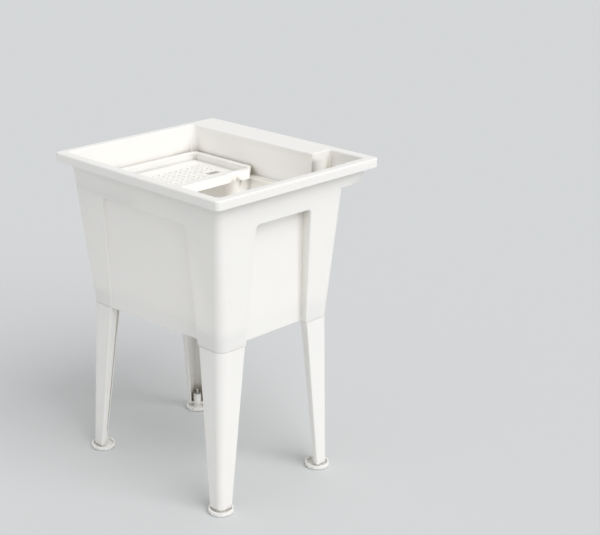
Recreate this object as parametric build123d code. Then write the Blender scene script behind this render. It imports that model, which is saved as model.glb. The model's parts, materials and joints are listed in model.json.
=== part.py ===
from build123d import *
import math
import os

os.makedirs("parts", exist_ok=True)

# A free-standing utility laundry sink: a deep moulded tub with a downturned rim,
# a plain rear deck with a lowered soap pocket, a perforated tray that slides on two
# rails, four tapered channel legs on screw-in levelling feet, and a drain outlet.
# X runs left to right, Y front to back, Z up. Origin: on the floor, under the rim's centre.

# ---- overall ----
WIDTH = 635.0               # rim, left to right
DEPTH = 560.0               # rim, front to back
HEIGHT = 864.0              # floor to rim top
BODY_BASE = 449.0           # height of the tub's bottom edge, where the legs start
WALL = 4.0                  # moulded wall of the tub

# ---- rim ----
SKIRT = 24.0                # height of the downturned edge
RIM_PLATE = 5.0             # thickness of the flat rim and deck
RIM_CORNER = 13.0           # plan radius of the rim's corners
RIM_EDGE_ROUND = 4.0        # rounding along the rim's outer top edge
MOUTH_EDGE_ROUND = 3.0      # rounding where the rim turns down into the bowl and pocket
SKIRT_EDGE_ROUND = 1.2      # rounding along the skirt's lower edge

# ---- tub body: the walls lean outward towards the rim ----
SIDE_INSET = 56.0           # body to rim edge at the base: left, right and front
SIDE_FLARE = 29.0           # how much of that inset is gone at the skirt's lower edge
BACK_INSET = 116.0          # body to rim edge at the base, at the back
BACK_FLARE = 23.0           # how much of that inset is gone at the skirt's lower edge
RIM_INSET = 20.0            # bowl's outer face to rim edge, right at the top
CORNER_BASE = 27.0          # plan radius of the body's vertical corners, at the base
CORNER_TOP = 18.0           # the same at the rim
APRON = 51.0                # tub's bottom edge to the bowl floor's edges
FLOOR_FALL = 8.0            # fall of the floor towards the drain
DRAIN_FLAT = 104.0          # side of the level patch round the drain
DRAIN_FLAT_CORNER = 50.0    # rounding of that patch's corners

# ---- recessed panels in the front, left and right walls ----
PANEL_DROP = 99.0           # rim top to the panels' upper edge
SIDE_PANEL_BASE = 78.0      # side panel's face to rim edge, at the base
SIDE_PANEL_HEAD = 66.0      # the same at its upper edge
FRONT_PANEL_LEFT = 59.0     # front panel's face to rim edge, at the base, left end
FRONT_PANEL_RIGHT = 84.0    # the same at the right end: the panel fades out to the left
FRONT_PANEL_HEAD = 61.0     # the same at the upper edge, right end
PILASTER_BASE = 86.0        # corner strip left beside a panel, at the base
PILASTER_FRONT_TOP = 124.0  # the same at the panel's upper edge, at the two front corners
PILASTER_BACK_TOP = 118.0   # the same at the two back corners
PANEL_CORNER = 10.0         # rounding of the panels' upper corners
PANEL_FILLET = 4.0          # rounding where the panel meets its border
SIDE_PANEL_MOUTH = 3.0      # rounding of the border's outer edge, side panels
FRONT_PANEL_MOUTH = 2.0     # the same on the front panel

# ---- soap pocket at the right of the deck ----
POCKET_WIDTH = 118.0
POCKET_STEP = 3.0           # pocket's right side to the bowl's right wall
POCKET_BACK_STRIP = 28.5    # rim left behind the pocket
POCKET_DEPTH = 60.0         # rim top to the pocket's floor
POCKET_ROUND = 6.0          # radius of the pocket's inner vertical corners

# ---- tray rails inside the bowl ----
RAIL_WIDTH = 13.0           # how far a rail stands out from the wall
RAIL_HEIGHT = 5.0           # face height of a rail above its tapered underside
POST_RIGHT = 371.0          # rim's right edge to the right face of the support post
POST_WIDTH = 48.0
POST_REACH = 60.0           # how far the post stands out from the back wall
POST_STRAIGHT = 60.0        # height of the post's plumb face
POST_TAPER = 110.0          # height over which the post dies into the wall below that
POST_ROUND = 20.0           # rounding of the post's front edges

# ---- sliding perforated tray ----
TRAY_WIDTH = 256.0          # left to right
TRAY_HEIGHT = 24.0
TRAY_SHEET = 3.0            # thickness of the perforated floor
TRAY_RIM = 18.0             # width of the hollow border's top
TRAY_WALL = 3.0             # wall of that border
TRAY_EDGE_ROUND = 4.5       # rounding of the border's outer top edge
TRAY_WELL_ROUND = 3.5       # rounding of its inner top edge
TRAY_WELL_CORNER = 7.0      # plan radius of the well's corners
TRAY_CLEARANCE = 3.0        # gap from the tray to each bowl wall
TRAY_SEAT_GAP = 0.3         # gap from the tray to its rails
HOLE_DIAMETER = 8.0
HOLE_PITCH_ACROSS = 18.4    # from hole to hole, left to right
HOLE_PITCH_ALONG = 20.4     # the same, front to back
HOLE_COLUMNS = 6
GRID_MARGIN_LEFT = 75.0     # tray's left side to the first holes
GRID_MARGIN_ENDS = 56.0
GRIP_WIDTH = 26.0           # finger slot near the back border
GRIP_LENGTH = 43.0
GRIP_FROM_LEFT = 142.0      # tray's left side to the slot
GRIP_FROM_BACK = 53.0
GRIP_ROUND = 5.0
GRIP_BORDER = 3.0           # plain strip kept round the slot
EAR_REACH = 6.0             # how far the ear at the back right corner stands out
EAR_WAIST = 8.0             # how far the side is drawn in, in front of the ear
EAR_FROM = 106.0            # tray's back end to where the side starts to draw in
EAR_DRAWN = 80.0            # the same to the narrowest place
EAR_FRONT = 58.0            # the same to the ear's front corner
EAR_BACK = 36.0             # the same to the ear's back corner
EAR_SLANT = 30.0            # ear's back corner to where its slanted back side ends, sideways
EAR_ROUND = 12.0            # rounding of the drawn-in side
EAR_TIP = 4.0               # rounding of the ear's two corners

# ---- legs ----
LEG_WALL = 4.0
LEG_TOP_FACE = 83.0         # width of each outer face at the joint
LEG_FOOT_FACE = 42.0        # the same at the foot
LEG_TOP_LIP = 24.0          # return flange at the joint
LEG_FOOT_LIP = 14.0
LEG_EDGE = 3.0              # rounding between a face and its flange
LEG_TIP = 1.2               # rounding of the flange's free edge
LEG_FOOT_CORNER = 16.0      # plan radius of the outer corner at the foot
LEG_BOTTOM = 15.0           # height of the leg's lower end
LEG_SPLAY_SIDE = 9.5        # outward lean over the leg's height, sideways
LEG_SPLAY_FRONT = 17.0      # the same for the front pair, forwards
LEG_SPLAY_BACK = -1.5       # the same for the back pair, backwards
LEG_WEB = 8.0               # plates that close the leg at its top and bottom
TONGUE_HEIGHT = 40.0        # part that pushes up into the tub's corner
TONGUE_CLEARANCE = 0.3
JOINT_GAP = 0.8             # height of the groove that shows as the joint line
JOINT_DEPTH = 1.5
BOSS_RADIUS = 13.0          # boss that carries the nut and guides the stud
BOSS_HEIGHT = 34.0          # above the leg's lower end
BASE_SET_IN = 1.0           # bottom plate behind the leg's outer faces
STUD_HOLE_CLEARANCE = 0.6

# ---- levelling feet ----
FOOT_RADIUS = 34.0
FOOT_SIDES = 12
FOOT_RIM_HEIGHT = 12.0
FOOT_DISH_RADIUS = 28.5
FOOT_DISH_FLOOR = 6.0
FOOT_HUB_RADIUS = 13.0
FOOT_CHAMFER = 3.0
FOOT_STOP_GAP = 0.3         # hub to leg, with the foot screwed right in
STUD_RADIUS = 5.0
STUD_SPARE = 15.0           # stud above the nut, with the foot screwed right in
STUD_CHAMFER = 1.0
STUD_ROOT = 3.0             # height at which the stud starts inside the foot
STUD_GRIP_CLEARANCE = 0.1   # stud in the foot that is moulded on it
THREAD_CLEARANCE = 0.3
NUT_FLATS = 17.0
NUT_HEIGHT = 8.0
NUT_CLEARANCE = 0.15        # each side of the nut in its pocket

# ---- drain ----
DRAIN_BORE = 27.0           # radius of the hole in the bowl floor
FLANGE_RADIUS = 43.0
FLANGE_HEIGHT = 2.5
FLANGE_ROUND = 1.2
SPUD_RADIUS = 26.0          # threaded barrel of the strainer
SPUD_BORE = 21.5
SPUD_LENGTH = 52.0          # below the flange
SPUD_NECK_RADIUS = 24.0     # narrower thread for the coupling nut
SPUD_NECK_LENGTH = 18.0
CROSSBAR = 3.0
CROSSBAR_DROP = 34.0        # flange top to the crossbars' upper face
CROSSBAR_HEIGHT = 4.0
GASKET_RADIUS = 40.0
GASKET_HEIGHT = 4.0
WASHER_RADIUS = 38.0
WASHER_HEIGHT = 1.5
LOCKNUT_RADIUS = 36.0
LOCKNUT_HEIGHT = 11.0
LOCKNUT_LUGS = 8
LUG_REACH = 5.0
LUG_WIDTH = 9.0
RING_CLEARANCE = 0.3        # rings and nuts over the barrel
TAIL_RADIUS = 19.05
TAIL_WALL = 2.0
TAIL_DROP = 118.0           # bowl floor's lowest part to the tailpiece's lower end
TAIL_GRIP = 50.0            # plain lower length that a trap's slip joint takes
TAIL_COLLAR = 0.6           # how much thicker the tube is above that length
TAIL_FLANGE_RADIUS = 23.0
TAIL_FLANGE_HEIGHT = 2.0
SEAL_HEIGHT = 2.0
COUPLING_RADIUS = 30.0
COUPLING_SIDES = 8
COUPLING_GRIP = 14.0        # length of the coupling nut's thread over the neck
COUPLING_LIP = 4.0
COUPLING_CHAMFER = 2.0

# ---- stopper ----
STOPPER_CAP_RADIUS = 27.0
STOPPER_CAP_HEIGHT = 4.0
STOPPER_ROUND = 1.3
STOPPER_PLUG_HEIGHT = 14.0
STOPPER_TAPER = 2.0
STOPPER_CLEARANCE = 0.3
KNOB_NECK_RADIUS = 5.0
KNOB_NECK_HEIGHT = 8.0
KNOB_RADIUS = 10.0
KNOB_HEIGHT = 6.0
KNOB_ROUND = 2.0

# ---- worked out from the sizes above ----
LEFT = -WIDTH / 2
RIGHT = WIDTH / 2
FRONT = -DEPTH / 2
BACK = DEPTH / 2
SKIRT_BOTTOM = HEIGHT - SKIRT
STUD_LENGTH = LEG_BOTTOM + BOSS_HEIGHT + STUD_SPARE - STUD_ROOT
POCKET_FLOOR = HEIGHT - POCKET_DEPTH
PANEL_TOP = HEIGHT - PANEL_DROP
RAIL_TOP = PANEL_TOP + WALL  # the rails run level with the panels' inner shoulders
FLOOR = BODY_BASE + APRON
FLOOR_LOW = FLOOR - FLOOR_FALL
TAIL_END = FLOOR_LOW - TAIL_DROP
OVERRUN = 10.0              # how far cutting shapes run past what they cut
ON_FACE = 0.1               # an edge this near a face lies on it


def between(z, low, high, at_low, at_high):
    """Value at height z on the straight line through two heights."""
    return at_low + (at_high - at_low) * (z - low) / (high - low)


def side_inset(z):
    """Rim edge to the body's outer face at height z: left, right and front."""
    shoulder = SIDE_INSET - SIDE_FLARE
    if z > SKIRT_BOTTOM:
        return between(z, SKIRT_BOTTOM, HEIGHT, shoulder, RIM_INSET)
    return between(z, BODY_BASE, SKIRT_BOTTOM, SIDE_INSET, shoulder)


def back_inset(z):
    """The same at the back, under the deck."""
    return between(z, BODY_BASE, SKIRT_BOTTOM, BACK_INSET, BACK_INSET - BACK_FLARE)


def corner_radius(z):
    """Plan radius of the body's outer vertical corners at height z."""
    return between(z, BODY_BASE, HEIGHT, CORNER_BASE, CORNER_TOP)


def body_section(z, inward):
    """Plan outline of the body at height z, moved inward by a wall thickness."""
    side = side_inset(z) + inward
    back = back_inset(z) + inward
    outline = RectangleRounded(WIDTH - 2 * side, DEPTH - side - back, corner_radius(z) - inward)
    return Pos(0, (side - back) / 2, z) * outline


def body_loft(bottom, top, inward):
    """Solid of the leaning walls between two heights."""
    levels = (bottom, SKIRT_BOTTOM, top)
    return loft([body_section(z, inward) for z in levels], ruled=True)


def panel_outline(base_low, base_high, head_low, head_high, inward):
    """Trapezium of a panel, rounded at its upper corners and grown by a wall thickness."""
    below = BODY_BASE - OVERRUN
    corners = [(base_low, below), (head_low, PANEL_TOP), (head_high, PANEL_TOP), (base_high, below)]
    outline = make_face(Polyline(*corners, close=True))
    outline = fillet(outline.vertices().group_by(Axis.Y)[-1], PANEL_CORNER)
    return offset(outline, inward, kind=Kind.INTERSECTION) if inward else outline


def round_panel_face(block, axis, inward):
    """Round the edges round the panel's own face, which lies innermost along the axis."""
    edges = block.faces().sort_by(axis)[-1].edges()
    above = edges.filter_by(lambda edge: edge.center().Z > BODY_BASE)
    return fillet(above, PANEL_FILLET + inward)


def side_panel_block(inward):
    """Cutter for the left wall's panel, grown by a wall thickness all round."""
    outline = panel_outline(
        FRONT + side_inset(BODY_BASE) + PILASTER_BASE,
        BACK - back_inset(BODY_BASE) - PILASTER_BASE,
        FRONT + side_inset(PANEL_TOP) + PILASTER_FRONT_TOP,
        BACK - back_inset(PANEL_TOP) - PILASTER_BACK_TOP,
        inward,
    )
    block = extrude(Plane.YZ.offset(LEFT) * outline, 2 * SIDE_PANEL_BASE)
    base = Vector(LEFT + SIDE_PANEL_BASE, 0, BODY_BASE)
    head = Vector(LEFT + SIDE_PANEL_HEAD, 0, PANEL_TOP)
    face = Plane(origin=base, x_dir=(0, 1, 0), z_dir=(head - base).cross(Vector(0, 1, 0)))
    return round_panel_face(cut_back(block, face, inward), Axis.X, inward)


def front_panel_block(inward):
    """Cutter for the front wall's panel, whose face slants out towards its left end."""
    base_side = side_inset(BODY_BASE) + PILASTER_BASE
    head_side = side_inset(PANEL_TOP) + PILASTER_FRONT_TOP
    outline = panel_outline(
        LEFT + base_side, RIGHT - base_side, LEFT + head_side, RIGHT - head_side, inward
    )
    block = extrude(Plane.XZ.offset(-FRONT) * outline, -2 * FRONT_PANEL_RIGHT)
    left = Vector(LEFT + base_side, FRONT + FRONT_PANEL_LEFT, BODY_BASE)
    right = Vector(RIGHT - base_side, FRONT + FRONT_PANEL_RIGHT, BODY_BASE)
    head = Vector(RIGHT - head_side, FRONT + FRONT_PANEL_HEAD, PANEL_TOP)
    face = Plane(origin=left, x_dir=right - left, z_dir=(head - right).cross(right - left))
    return round_panel_face(cut_back(block, face, inward), Axis.Y, inward)


def cut_back(block, face, inward):
    """Keep the outer side of a block, up to the panel's face."""
    inner = face.z_dir.X + face.z_dir.Y > 0
    depth = inward if inner else -inward
    return split(block, bisect_by=face.offset(depth), keep=Keep.BOTTOM if inner else Keep.TOP)


def panel_blocks(inward):
    """The three cutters together."""
    left = side_panel_block(inward)
    return [left, mirror(left, Plane.YZ), front_panel_block(inward)]


def pocket_section(z, shell):
    """Plan outline of the pocket at height z, or of its shell, flush with the right wall."""
    wall = WALL if shell else 0
    x_high = RIGHT - side_inset(z) - (0 if shell else WALL + POCKET_STEP)
    x_low = RIGHT - RIM_INSET - WALL - POCKET_STEP - POCKET_WIDTH - wall
    y_high = BACK - POCKET_BACK_STRIP + wall
    y_low = BACK - back_inset(z) - corner_radius(z)
    centre = Pos((x_high + x_low) / 2, (y_high + y_low) / 2, z)
    outline = centre * Rectangle(x_high - x_low, y_high - y_low)
    return fillet(outline.vertices().group_by(Axis.Y)[-1], POCKET_ROUND + wall)


def pocket(shell):
    """The pocket's space, or the block that becomes its shell."""
    low = POCKET_FLOOR - WALL if shell else POCKET_FLOOR
    high = HEIGHT - RIM_PLATE / 2 if shell else HEIGHT + OVERRUN
    return loft([pocket_section(z, shell) for z in (low, SKIRT_BOTTOM, high)], ruled=True)


def floor_funnel(top, lowered):
    """Inverted shallow pyramid that gives the floor its fall to the drain."""
    wide = Pos(0, drain_y(), top - lowered) * RectangleRounded(WIDTH, DEPTH, DRAIN_FLAT_CORNER)
    narrow = RectangleRounded(DRAIN_FLAT, DRAIN_FLAT, DRAIN_FLAT_CORNER)
    low = Pos(0, drain_y(), top - lowered - FLOOR_FALL) * narrow
    return loft([wide, low], ruled=True)


def drain_y():
    """The drain is at the middle of the bowl floor."""
    return (side_inset(FLOOR) - back_inset(FLOOR)) / 2


def floor_slab():
    """Wall-thick sheet of the bowl floor, with its fall."""
    sheet = Pos(0, drain_y(), FLOOR - WALL / 2) * Box(WIDTH, DEPTH, WALL)
    return sheet + floor_funnel(FLOOR, WALL) - floor_funnel(FLOOR, 0)


def rails_and_post():
    """Two tray rails along the front and back walls, and a post under the tray's corner."""
    taper = RAIL_WIDTH + RAIL_HEIGHT
    front_wall = FRONT + side_inset(RAIL_TOP) + WALL
    back_wall = BACK - back_inset(RAIL_TOP) - WALL
    rails = []
    for wall_y, inner in ((front_wall, 1), (back_wall, -1)):
        profile = Polyline(
            (wall_y - inner * OVERRUN, RAIL_TOP),
            (wall_y + inner * RAIL_WIDTH, RAIL_TOP),
            (wall_y + inner * RAIL_WIDTH, RAIL_TOP - RAIL_HEIGHT),
            (wall_y - inner * OVERRUN, RAIL_TOP - taper - OVERRUN),
            close=True,
        )
        face = Plane.YZ.offset(LEFT) * make_face(profile)
        rails.append(extrude(face, WIDTH))
    return rails + [post(0)]


def post(inward):
    """Moulded post on the back wall under the tray; inward gives its hollow back."""
    back_wall = BACK - back_inset(RAIL_TOP) - WALL
    rear = back_wall + OVERRUN + inward
    reach = back_wall - POST_REACH + inward
    top = RAIL_TOP - inward
    profile = Polyline(
        (rear, top),
        (reach, top),
        (reach, RAIL_TOP - POST_STRAIGHT),
        (rear, RAIL_TOP - POST_STRAIGHT - POST_TAPER + inward),
        close=True,
    )
    start = RIGHT - POST_RIGHT - POST_WIDTH + inward
    body = extrude(Plane.YZ.offset(start) * make_face(profile), POST_WIDTH - 2 * inward)
    sides = body.faces().filter_by(Axis.X)
    fronts = [edge for side in sides for edge in side.edges() if is_post_front(edge, inward)]
    return fillet(fronts, POST_ROUND - inward)


def is_post_front(edge, inward):
    """True for the plumb and slanting edges at the front of the post, left and right."""
    middle = edge.center()
    rear = BACK - back_inset(RAIL_TOP) - WALL + OVERRUN + inward
    return middle.Y < rear - ON_FACE and middle.Z < RAIL_TOP - inward - ON_FACE


def tub():
    """The moulded tub: rim, deck, pocket, bowl, apron and leg sockets."""
    rim = Pos(0, 0, HEIGHT - SKIRT / 2) * Box(WIDTH, DEPTH, SKIRT)
    rim = fillet(rim.edges().filter_by(Axis.Z), RIM_CORNER)
    under = Pos(0, 0, SKIRT_BOTTOM + (SKIRT - RIM_PLATE) / 2 - OVERRUN / 2)
    channel = under * Box(WIDTH - 2 * WALL, DEPTH - 2 * WALL, SKIRT - RIM_PLATE + OVERRUN)
    channel = fillet(channel.edges().filter_by(Axis.Z), RIM_CORNER - WALL)
    rim = rim - channel
    rim = fillet(rim.edges().group_by(Axis.Z)[0], SKIRT_EDGE_ROUND)

    outer = body_loft(BODY_BASE, HEIGHT - RIM_PLATE / 2, 0)
    for block in panel_blocks(0):
        outer = outer - block
    side_edges = outer.edges().filter_by(is_side_mouth)
    outer = fillet(side_edges, SIDE_PANEL_MOUTH)
    front_edges = outer.edges().filter_by(is_front_mouth)
    outer = fillet(front_edges, FRONT_PANEL_MOUTH)

    hollow = body_loft(BODY_BASE - OVERRUN, HEIGHT + OVERRUN, WALL)
    for block in panel_blocks(WALL):
        hollow = hollow - block
    hollow = hollow - floor_slab()
    for piece in rails_and_post():
        hollow = hollow - piece

    shell = rim + outer + pocket(True)
    shell = shell - hollow - pocket(False) - post(WALL)
    shell = shell - Pos(0, drain_y(), FLOOR_LOW) * Cylinder(DRAIN_BORE, 2 * OVERRUN)
    rim_top = shell.faces().sort_by(Axis.Z)[-1]
    shell = fillet(rim_top.outer_wire().edges(), RIM_EDGE_ROUND)
    mouth = shell.faces().sort_by(Axis.Z)[-1].inner_wires()[0]
    return fillet(mouth.edges(), MOUTH_EDGE_ROUND)


def is_panel_height(z):
    """True between the body's bottom edge and the panels' upper edge, ends included."""
    return BODY_BASE + ON_FACE < z < PANEL_TOP + ON_FACE


def is_side_mouth(edge):
    """True for the edges that the side panels cut into the body's left and right faces."""
    middle = edge.center()
    on_wall = abs(RIGHT - side_inset(middle.Z) - abs(middle.X)) < ON_FACE
    behind = FRONT + side_inset(BODY_BASE) + CORNER_BASE
    before = BACK - back_inset(BODY_BASE) - CORNER_BASE
    return on_wall and behind < middle.Y < before and is_panel_height(middle.Z)


def is_front_mouth(edge):
    """True for the edges that the front panel cuts into the body's front face."""
    middle = edge.center()
    on_wall = abs(middle.Y - FRONT - side_inset(middle.Z)) < ON_FACE
    beside = abs(middle.X) < RIGHT - side_inset(BODY_BASE) - CORNER_BASE
    return on_wall and beside and is_panel_height(middle.Z)


def tray_left():
    """Left side of the tray, beside the bowl's left wall."""
    return LEFT + side_inset(RAIL_TOP) + WALL + TRAY_CLEARANCE


def tray_ends():
    """Front and back ends of the tray."""
    front = FRONT + side_inset(RAIL_TOP) + WALL + TRAY_CLEARANCE
    back = BACK - back_inset(RAIL_TOP) - WALL - TRAY_CLEARANCE
    return front, back


def tray_outline(length):
    """Plan of the tray: a rectangle whose back right corner is shaped into an ear."""
    side = TRAY_WIDTH / 2
    end = length / 2
    points = [
        (-side, -end),
        (side, -end),
        (side, end - EAR_FROM),
        (side - EAR_WAIST, end - EAR_DRAWN),
        (side + EAR_REACH, end - EAR_FRONT),
        (side + EAR_REACH, end - EAR_BACK),
        (side + EAR_REACH - EAR_SLANT, end),
        (-side, end),
    ]
    corner = tray_corner()
    radii = [corner, corner, EAR_ROUND, EAR_ROUND, EAR_TIP, EAR_TIP, EAR_ROUND, corner]
    return make_face(FilletPolyline(*points, radius=radii, close=True))


def tray_corner():
    """Plan radius of the tray's plain corners, which follows the bowl's."""
    return corner_radius(RAIL_TOP) - WALL - TRAY_CLEARANCE


def tray():
    """Perforated tray with a hollow raised border, an ear and a finger slot."""
    front, back = tray_ends()
    length = back - front
    centre = Pos(tray_left() + TRAY_WIDTH / 2, (front + back) / 2, RAIL_TOP + TRAY_SEAT_GAP)
    plan = extrude(tray_outline(length), TRAY_HEIGHT)
    plan = fillet(plan.edges().group_by(Axis.Z)[-1], TRAY_EDGE_ROUND)
    rim = 2 * TRAY_RIM
    inner = RectangleRounded(TRAY_WIDTH - rim, length - rim, TRAY_WELL_CORNER)
    well = extrude(Pos(0, 0, TRAY_SHEET) * inner, TRAY_HEIGHT)
    body = plan - well
    body = fillet(body.faces().sort_by(Axis.Z)[-1].inner_wires()[0].edges(), TRAY_WELL_ROUND)
    body = body - tray_groove(length)
    slot_x = GRIP_FROM_LEFT + GRIP_WIDTH / 2 - TRAY_WIDTH / 2
    slot_y = length / 2 - GRIP_FROM_BACK - GRIP_LENGTH / 2
    slot = Pos(slot_x, slot_y, 0) * RectangleRounded(GRIP_WIDTH, GRIP_LENGTH, GRIP_ROUND)
    holes = [Pos(x, y, 0) * Circle(HOLE_DIAMETER / 2) for x, y in hole_grid(length, slot_x, slot_y)]
    body = body - extrude(slot, TRAY_SHEET * 2) - extrude(Sketch() + holes, TRAY_SHEET * 2)
    return centre * body


def tray_groove(length):
    """Hollow under the border; it stops short of the ear's corner, which is solid."""
    wall = 2 * TRAY_WALL
    border = 2 * TRAY_RIM - wall
    outer_ring = RectangleRounded(TRAY_WIDTH - wall, length - wall, tray_corner() - TRAY_WALL)
    well_corner = TRAY_WELL_CORNER + TRAY_WALL
    inner_ring = RectangleRounded(TRAY_WIDTH - border, length - border, well_corner)
    groove = extrude(outer_ring - inner_ring, TRAY_HEIGHT - TRAY_WALL)
    reach = EAR_FROM + TRAY_WALL
    return groove - Pos(TRAY_WIDTH / 2, length / 2, 0) * Box(2 * reach, 2 * reach, 3 * TRAY_HEIGHT)


def hole_grid(length, slot_x, slot_y):
    """Centres of the holes, in straight rows, clear of the finger slot."""
    rows = int((length - 2 * GRID_MARGIN_ENDS) / HOLE_PITCH_ALONG) + 1
    keep_x = (GRIP_WIDTH + HOLE_DIAMETER) / 2 + GRIP_BORDER
    keep_y = (GRIP_LENGTH + HOLE_DIAMETER) / 2 + GRIP_BORDER
    for column in range(HOLE_COLUMNS):
        for row in range(rows):
            x = GRID_MARGIN_LEFT - TRAY_WIDTH / 2 + column * HOLE_PITCH_ACROSS
            y = length / 2 - GRID_MARGIN_ENDS - row * HOLE_PITCH_ALONG
            if abs(x - slot_x) > keep_x or abs(y - slot_y) > keep_y:
                yield x, y


def leg_values(z):
    """Face width, flange length and corner radius of the leg at height z."""
    down = (BODY_BASE - z) / (BODY_BASE - LEG_BOTTOM)
    face = LEG_TOP_FACE + (LEG_FOOT_FACE - LEG_TOP_FACE) * down
    lip = LEG_TOP_LIP + (LEG_FOOT_LIP - LEG_TOP_LIP) * down
    corner = corner_radius(BODY_BASE) + (LEG_FOOT_CORNER - corner_radius(BODY_BASE)) * down
    return down, face, lip, corner


def leg_section(z, splay_x, splay_y):
    """Channel outline of the leg at height z, its outer corner near the origin."""
    down, face, lip, corner = leg_values(z)
    wall = LEG_WALL
    points = [
        (0, 0),
        (face, 0),
        (face, lip),
        (face - wall, lip),
        (face - wall, wall),
        (wall, wall),
        (wall, face - wall),
        (lip, face - wall),
        (lip, face),
        (0, face),
    ]
    tips = [LEG_TIP] * 3
    radii = [corner, LEG_EDGE] + tips + [corner - wall] + tips + [LEG_EDGE]
    outline = make_face(FilletPolyline(*points, radius=radii, close=True))
    return Pos(-splay_x * down, -splay_y * down, z) * outline


def leg_plate(z, inset, splay_x, splay_y):
    """Five-sided outline that closes the channel at height z."""
    down, face, lip, corner = leg_values(z)
    far = face - inset
    points = [(inset, inset), (far, inset), (far, lip), (lip, far), (inset, far)]
    tips = [LEG_TIP] * 4
    outline = make_face(FilletPolyline(*points, radius=[corner - inset] + tips, close=True))
    return Pos(-splay_x * down, -splay_y * down, z) * outline


def foot_place(splay_x, splay_y):
    """Centre of the levelling foot, from the leg's outer corner at the joint."""
    return LEG_FOOT_FACE / 2 - splay_x, LEG_FOOT_FACE / 2 - splay_y


def leg(splay_x, splay_y):
    """One tapered channel leg: tongue, joint plate, channel, foot plate and boss."""
    top = BODY_BASE - JOINT_GAP
    channel = loft(
        [leg_section(LEG_BOTTOM, splay_x, splay_y), leg_section(top, splay_x, splay_y)], ruled=True
    )
    joint = extrude(leg_plate(BODY_BASE - LEG_WEB, JOINT_DEPTH, splay_x, splay_y), LEG_WEB)
    base = extrude(leg_plate(LEG_BOTTOM, BASE_SET_IN, splay_x, splay_y), LEG_WEB)
    set_in = WALL + TONGUE_CLEARANCE
    tongue = Pos(set_in, set_in, 0) * extrude(tongue_outline(set_in), TONGUE_HEIGHT)
    foot_x, foot_y = foot_place(splay_x, splay_y)
    boss = Pos(foot_x, foot_y, LEG_BOTTOM + BOSS_HEIGHT / 2) * Cylinder(BOSS_RADIUS, BOSS_HEIGHT)
    hole = Cylinder(STUD_RADIUS + STUD_HOLE_CLEARANCE, 3 * BOSS_HEIGHT)
    pocket = extrude(nut_outline(NUT_CLEARANCE), NUT_HEIGHT + OVERRUN)
    pocket = Pos(foot_x, foot_y, LEG_BOTTOM + BOSS_HEIGHT - NUT_HEIGHT) * pocket
    return channel + joint + base + tongue + boss - Pos(foot_x, foot_y, LEG_BOTTOM) * hole - pocket


def tongue_outline(set_in):
    """Channel outline of the tongue, with its outer corner at the origin."""
    face = LEG_TOP_FACE - 2 * set_in
    lip = LEG_TOP_LIP - set_in
    wall = LEG_WALL
    points = [
        (0, 0),
        (face, 0),
        (face, lip),
        (face - wall, lip),
        (face - wall, wall),
        (wall, wall),
        (wall, face - wall),
        (lip, face - wall),
        (lip, face),
        (0, face),
    ]
    corner = corner_radius(BODY_BASE) - set_in
    tips = [LEG_TIP] * 4
    radii = [corner] + tips + [corner - wall] + tips
    return Pos(0, 0, BODY_BASE) * make_face(FilletPolyline(*points, radius=radii, close=True))


def nut_outline(clearance):
    """Hexagon of the stud's nut, or of its pocket with a clearance all round."""
    return RegularPolygon(NUT_FLATS / 2 + clearance, 6, major_radius=False)


def nut(place):
    """Hexagon nut held in the leg's boss."""
    body = extrude(nut_outline(0), NUT_HEIGHT)
    body = body - Cylinder(STUD_RADIUS + THREAD_CLEARANCE, 3 * NUT_HEIGHT)
    return Pos(*place, LEG_BOTTOM + BOSS_HEIGHT - NUT_HEIGHT) * body


def stud(place):
    """Threaded stud, drawn at the thread's outer size."""
    body = Cylinder(STUD_RADIUS, STUD_LENGTH)
    body = chamfer(body.edges().group_by(Axis.Z)[-1], STUD_CHAMFER)
    return Pos(*place, STUD_ROOT + STUD_LENGTH / 2) * body


def foot(place):
    """Twelve-sided levelling foot with a shallow dish and a hub on the stud."""
    body = extrude(RegularPolygon(FOOT_RADIUS, FOOT_SIDES), FOOT_RIM_HEIGHT)
    body = chamfer(body.edges().group_by(Axis.Z)[0], FOOT_CHAMFER)
    dish_height = FOOT_RIM_HEIGHT
    body = body - Pos(0, 0, FOOT_DISH_FLOOR + dish_height / 2) * Cylinder(FOOT_DISH_RADIUS, dish_height)
    hub_height = LEG_BOTTOM - FOOT_STOP_GAP
    body = body + Pos(0, 0, hub_height / 2) * Cylinder(FOOT_HUB_RADIUS, hub_height)
    bore = Cylinder(STUD_RADIUS + STUD_GRIP_CLEARANCE, STUD_LENGTH)
    return Pos(*place, 0) * (body - Pos(0, 0, STUD_ROOT + STUD_LENGTH / 2) * bore)


def ring(outer, inner, low, high):
    """Flat ring round the drain's axis, between two heights."""
    body = Cylinder(outer, high - low) - Cylinder(inner, 2 * (high - low))
    return Pos(0, drain_y(), (low + high) / 2) * body


def strainer():
    """Drain strainer: flange, threaded barrel with a narrower neck, and crossbars."""
    low = FLOOR_LOW - SPUD_LENGTH
    neck_top = low + SPUD_NECK_LENGTH
    flange_top = FLOOR_LOW + FLANGE_HEIGHT
    body = ring(FLANGE_RADIUS, SPUD_BORE, FLOOR_LOW, flange_top)
    body = fillet(body.edges().group_by(Axis.Z)[-1].sort_by(SortBy.LENGTH)[-1], FLANGE_ROUND)
    body = body + ring(SPUD_RADIUS, SPUD_BORE, neck_top, FLOOR_LOW)
    body = body + ring(SPUD_NECK_RADIUS, SPUD_BORE, low, neck_top)
    bar_z = flange_top - CROSSBAR_DROP - CROSSBAR_HEIGHT / 2
    bar = Box(SPUD_BORE + SPUD_NECK_RADIUS, CROSSBAR, CROSSBAR_HEIGHT)
    for angle in (45, 135):
        body = body + Pos(0, drain_y(), bar_z) * Rot(0, 0, angle) * bar
    return body


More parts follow.
